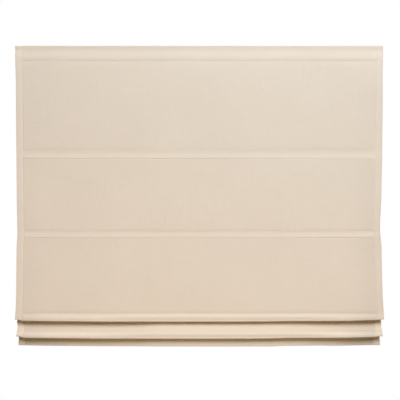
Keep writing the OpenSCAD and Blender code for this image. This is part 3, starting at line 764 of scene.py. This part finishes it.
def noise(tree, scale, detail=2.0, stretch=(1, 1, 1), rough=0.5):
    node = add(tree, "ShaderNodeTexNoise", Scale=scale, Detail=detail, Roughness=rough)
    tree.links.new(coords(tree, stretch), node.inputs["Vector"])
    return node.outputs["Fac"]


def ramp(tree, value, low, high):
    """From one colour to the other over the middle of a noise's range."""
    node = add(tree, "ShaderNodeValToRGB")
    for element, position, color in zip(node.color_ramp.elements, (0.3, 0.7), (low, high)):
        element.position = position
        element.color = (*color, 1)
    tree.links.new(value, node.inputs["Fac"])
    return node.outputs["Color"]


def math_node(tree, operation, a, b):
    node = add(tree, "ShaderNodeMath", operation=operation)
    for i, value in enumerate((a, b)):
        if isinstance(value, (int, float)):
            node.inputs[i].default_value = value
        else:
            tree.links.new(value, node.inputs[i])
    return node.outputs["Value"]


def bump(tree, shader, height, strength, distance):
    node = add(tree, "ShaderNodeBump", Strength=strength, Distance=distance)
    tree.links.new(height, node.inputs["Height"])
    tree.links.new(node.outputs["Normal"], shader.inputs["Normal"])


def thread_wave(tree, direction, scale):
    node = add(tree, "ShaderNodeTexWave", Scale=scale, Distortion=1.2, Detail=1.0, bands_direction=direction)
    node.inputs["Detail Scale"].default_value = 1.5
    tree.links.new(coords(tree, (1, 1, 1)), node.inputs["Vector"])
    return node.outputs["Fac"]


def scaled(color, share):
    return tuple(v * share for v in color)


def gray(value):
    return (value, value, value)


def cloth_material(name, color, pitch, depth, with_painted_shade=False):
    """Woven threads, a little uneven in colour; with painted shade, it follows the mesh's attribute of ply
    lightness, painted light and painted shade.
    """
    mat, tree, shader = material(name, color, 0.9)
    warp = noise(tree, 900, 2, (1, 1, 0.03))
    weft = noise(tree, 900, 2, (0.03, 1, 1))
    broad = noise(tree, 6, 3)
    threads = math_node(tree, "MULTIPLY", math_node(tree, "ADD", warp, weft), 0.4)
    mixed = math_node(tree, "ADD", threads, math_node(tree, "MULTIPLY", broad, 0.2))
    shade = ramp(tree, mixed, scaled(color, 0.95), scaled(color, 1.05))
    if with_painted_shade:
        # the attribute scales the colour: lighter where the cloth lies double, plus painted light and painted
        # shade
        painted_shade_node = add(tree, "ShaderNodeAttribute", attribute_name="ply_light_and_painted_shade")
        deep = add(tree, "ShaderNodeVectorMath", operation="SCALE")
        tree.links.new(shade, deep.inputs[0])
        tree.links.new(painted_shade_node.outputs["Fac"], deep.inputs["Scale"])
        shade = deep.outputs["Vector"]
    tree.links.new(shade, shader.inputs["Base Color"])
    weave = math_node(tree, "ADD", thread_wave(tree, "X", pitch), thread_wave(tree, "Z", pitch))
    bump(tree, shader, math_node(tree, "ADD", weave, math_node(tree, "ADD", warp, weft)), depth, 0.0003)
    shader.inputs["Sheen Weight"].default_value = 0.15
    shader.inputs["Sheen Roughness"].default_value = 0.5
    shader.inputs["Specular IOR Level"].default_value = 0.2
    return mat


def plastic(name, color, rough, grain):
    mat, tree, shader = material(name, color, rough)
    fine = noise(tree, grain, 3)
    broad = noise(tree, 40, 3)
    tree.links.new(ramp(tree, broad, scaled(color, 0.97), scaled(color, 1.02)), shader.inputs["Base Color"])
    tree.links.new(ramp(tree, fine, gray(rough * 0.85), gray(rough * 1.15)), shader.inputs["Roughness"])
    bump(tree, shader, fine, 0.12, 0.0002)
    return mat


def metal(name, color, rough, stretch):
    mat, tree, shader = material(name, color, rough, 1.0)
    grain = noise(tree, 260, 4, stretch, 0.65)
    tree.links.new(ramp(tree, grain, scaled(color, 0.86), scaled(color, 1.1)), shader.inputs["Base Color"])
    tree.links.new(ramp(tree, grain, gray(rough * 0.75), gray(rough * 1.3)), shader.inputs["Roughness"])
    bump(tree, shader, grain, 0.08, 0.0001)
    return mat


CLOTH = (0.735, 0.638, 0.545)
m_cloth = cloth_material("linen_cloth", CLOTH, 190, 0.2, True)
m_thread = cloth_material("sewing_thread", scaled(CLOTH, 0.93), 900, 0.2)
m_pocket = cloth_material("pocket_tape", (0.78, 0.69, 0.59), 420, 0.3)
m_hook = cloth_material("hook_tape", (0.83, 0.83, 0.80), 260, 0.8)
m_loop = cloth_material("loop_tape", (0.86, 0.85, 0.82), 420, 0.6)
m_rail = plastic("rail_paint", (0.70, 0.70, 0.685), 0.45, 1400)
m_white = plastic("white_plastic", (0.71, 0.71, 0.69), 0.5, 700)
m_natural = plastic("natural_plastic", (0.70, 0.70, 0.65), 0.36, 500)
m_rod = plastic("fibreglass", (0.80, 0.79, 0.70), 0.4, 900)
m_steel = metal("zinc_steel", (0.42, 0.43, 0.45), 0.4, (1, 1, 0.25))
m_shaft = metal("drawn_aluminium", (0.74, 0.75, 0.76), 0.3, (0.02, 1, 1))
m_spring = metal("spring_steel", (0.42, 0.44, 0.48), 0.28, (0.05, 1, 1))

LOOKS = {
    m_rail: ("headrail", "bottom_bar"),
    m_white: ("end_cap_left", "end_cap_right", "cam_lever_left", "cam_lever_right", "drum_cradle_left",
              "drum_cradle_centre", "drum_cradle_right", "bottom_bar_caps"),
    m_natural: ("cord_drum_left", "cord_drum_centre", "cord_drum_right", "shaft_bushes", "spring_arbor",
                "cord_rings_left", "cord_rings_centre", "cord_rings_right", "rod_end_caps"),
    m_rod: ("fold_rod_1", "fold_rod_2", "fold_rod_3", "fold_rod_4"),
    m_steel: ("wall_bracket_left", "wall_bracket_right", "bracket_rivets", "motor_case", "motor_cover",
              "motor_screws"),
    m_shaft: ("lift_shaft",),
    m_spring: ("lift_spring",),
    m_hook: ("hook_strip",),
    m_loop: ("loop_strip",),
}
for look, names in LOOKS.items():
    for name in names:
        for material_slot in nodes[name].material_slots:
            material_slot.material = look

# Each drawn piece gets its material and rides with the blind; the solid it stands in for is hidden

for obj, look in ((cloth, m_cloth), (stitches, m_thread), (ring_ties, m_thread)):
    obj.data.materials.append(look)
    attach(obj, "blind")
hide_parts("fabric_panel")
for k, obj in strips.items():
    obj.data.materials.append(m_pocket)
    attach(obj, "blind")
    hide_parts(f"rod_pocket_{k}")

# Camera, level and square to the blind

PX = 3.261                 # mm for each pixel of the photograph, at the head
HALF_FRAME = 200           # pixels from the photograph's middle to its side
TOP_TO_MIDDLE = 154.4      # pixels from the cloth's top edge down to the photograph's middle
CAM_FAR = 1776.0           # mm from the camera to the head of the cloth
CAM_X = 2.6
HEAD_Y = -57.5
SENSOR_W = 36
scene = bpy.context.scene
camera = bpy.data.cameras.new("camera")
camera.sensor_width = SENSOR_W
camera.lens = SENSOR_W / 2 / (HALF_FRAME * PX / CAM_FAR)
camera.clip_start = 0.05
camera.clip_end = 50
camera_obj = bpy.data.objects.new("camera", camera)
camera_obj.location = (CAM_X * MM, (HEAD_Y - CAM_FAR) * MM, (TOP - TOP_TO_MIDDLE * PX) * MM)
camera_obj.rotation_euler = (math.pi / 2, 0, 0)
scene.collection.objects.link(camera_obj)
scene.camera = camera_obj


# Light: a soft sun from above the front, weaker lamps in front, behind and at the sides, and a pale surround

def towards(obj, way):
    obj.rotation_euler = Vector(way).to_track_quat("-Z", "Y").to_euler()
    scene.collection.objects.link(obj)


def lamp(name, place, aim, size, power, color=(1, 1, 1)):
    light = bpy.data.lights.new(name, "AREA")
    light.shape = "RECTANGLE"
    light.size, light.size_y = size
    light.energy = power
    light.color = color
    obj = bpy.data.objects.new(name, light)
    obj.location = place
    towards(obj, Vector(aim) - Vector(place))


sun = bpy.data.lights.new("key", "SUN")
sun.energy = 2.52
sun.color = (1.0, 0.935, 0.885)
sun.angle = math.radians(27)
towards(bpy.data.objects.new("key", sun), (-0.10, 0.732, -0.674))
lamp("side", (0.6, -1.8, 1.2), (0, -0.05, -0.3), (1.2, 1.2), 32.9, (0.687, 0.875, 1.0))
lamp("low", (0.0, -2.0, -1.4), (0, -0.05, -0.6), (1.6, 0.8), 6.8, (1.0, 0.58, 0.04))
lamp("back", (-0.9, 2.2, 0.35), (0, 0, -0.45), (1.6, 1.2), 52)
for name, x in (("left", -2.4), ("right", 2.4)):
    lamp(name, (x, 0.45, -0.2), (0, -0.03, -0.4), (1.0, 1.6), 14)

AMBIENT = 0.03             # strength of the surround as a light
world = bpy.data.worlds.new("surround")
scene.world = world
world.use_nodes = True
tree = world.node_tree
background = tree.nodes["Background"]
background.inputs["Color"].default_value = (1, 1, 1, 1)
ray = tree.nodes.new("ShaderNodeLightPath").outputs
mirrored = math_node(tree, "MAXIMUM", ray["Is Glossy Ray"], ray["Is Transmission Ray"])
seen = math_node(tree, "MAXIMUM", ray["Is Camera Ray"], mirrored)
strength = math_node(tree, "ADD", math_node(tree, "MULTIPLY", seen, 1 - AMBIENT), AMBIENT)
tree.links.new(strength, background.inputs["Strength"])

# A round pale floor below the blind, fading out at its edge

FLOOR_R = 1.25
bpy.ops.mesh.primitive_circle_add(vertices=96, radius=FLOOR_R, fill_type="NGON", location=(0, -0.05, -1.9))
floor = bpy.context.object
floor.name = "floor"
pale, tree, shader = material("pale_floor", (0.86, 0.86, 0.86), 0.8)
gradient = add(tree, "ShaderNodeTexGradient", gradient_type="SPHERICAL")
tree.links.new(coords(tree, gray(1 / FLOOR_R)), gradient.inputs["Vector"])
fade = add(tree, "ShaderNodeMapRange")
fade.inputs["From Min"].default_value = 0.02
fade.inputs["From Max"].default_value = 0.45
tree.links.new(gradient.outputs["Fac"], fade.inputs["Value"])
clear = add(tree, "ShaderNodeBsdfTransparent")
mix = add(tree, "ShaderNodeMixShader")
tree.links.new(fade.outputs["Result"], mix.inputs["Fac"])
tree.links.new(clear.outputs["BSDF"], mix.inputs[1])
tree.links.new(shader.outputs["BSDF"], mix.inputs[2])
tree.links.new(mix.outputs["Shader"], tree.nodes["Material Output"].inputs["Surface"])
floor.data.materials.append(pale)

scene.view_settings.view_transform = "Standard"
